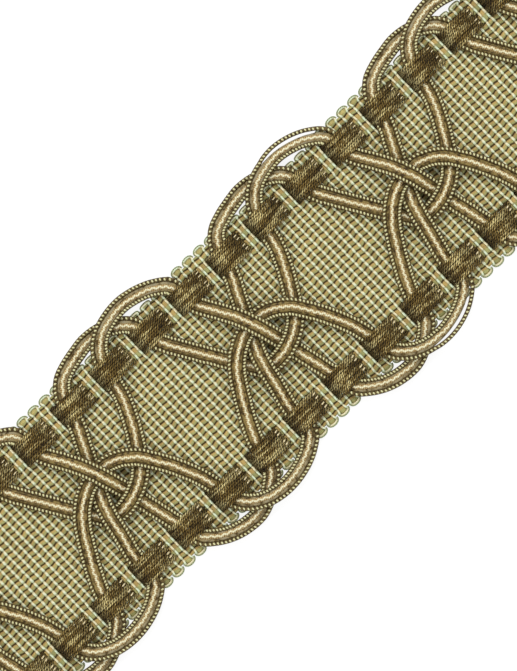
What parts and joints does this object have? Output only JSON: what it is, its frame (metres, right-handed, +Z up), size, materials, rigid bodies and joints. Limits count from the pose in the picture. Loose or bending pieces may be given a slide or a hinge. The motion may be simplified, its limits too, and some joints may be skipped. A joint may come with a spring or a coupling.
{
  "type": "trim tape",
  "caption": "Cut length of wide woven furnishing braid with interlaced gimp cords, corded floats along both edges and looped picot sides.",
  "frame": {"origin": "middle of the tape's flat underside", "axes": "+X along the tape, +Y across it, +Z up out of its face"},
  "size_m": [0.3698, 0.1008, 0.008],
  "materials": {
    "ground": "woven rib of cream weft over tan and sage warps, matt",
    "float_yarn": "loose twisted dark brown yarn, matt",
    "gimp": "satin taupe cords with a cream wavy core and cream beaded edges"
  },
  "bodies": {
    "root": {"ground_tape": "ground", "float_band_upper": "float_yarn", "float_band_lower": "float_yarn", "gimp_1": "gimp", "gimp_2": "gimp", "gimp_3": "gimp", "gimp_4": "gimp"}
  },
  "joints": []
}
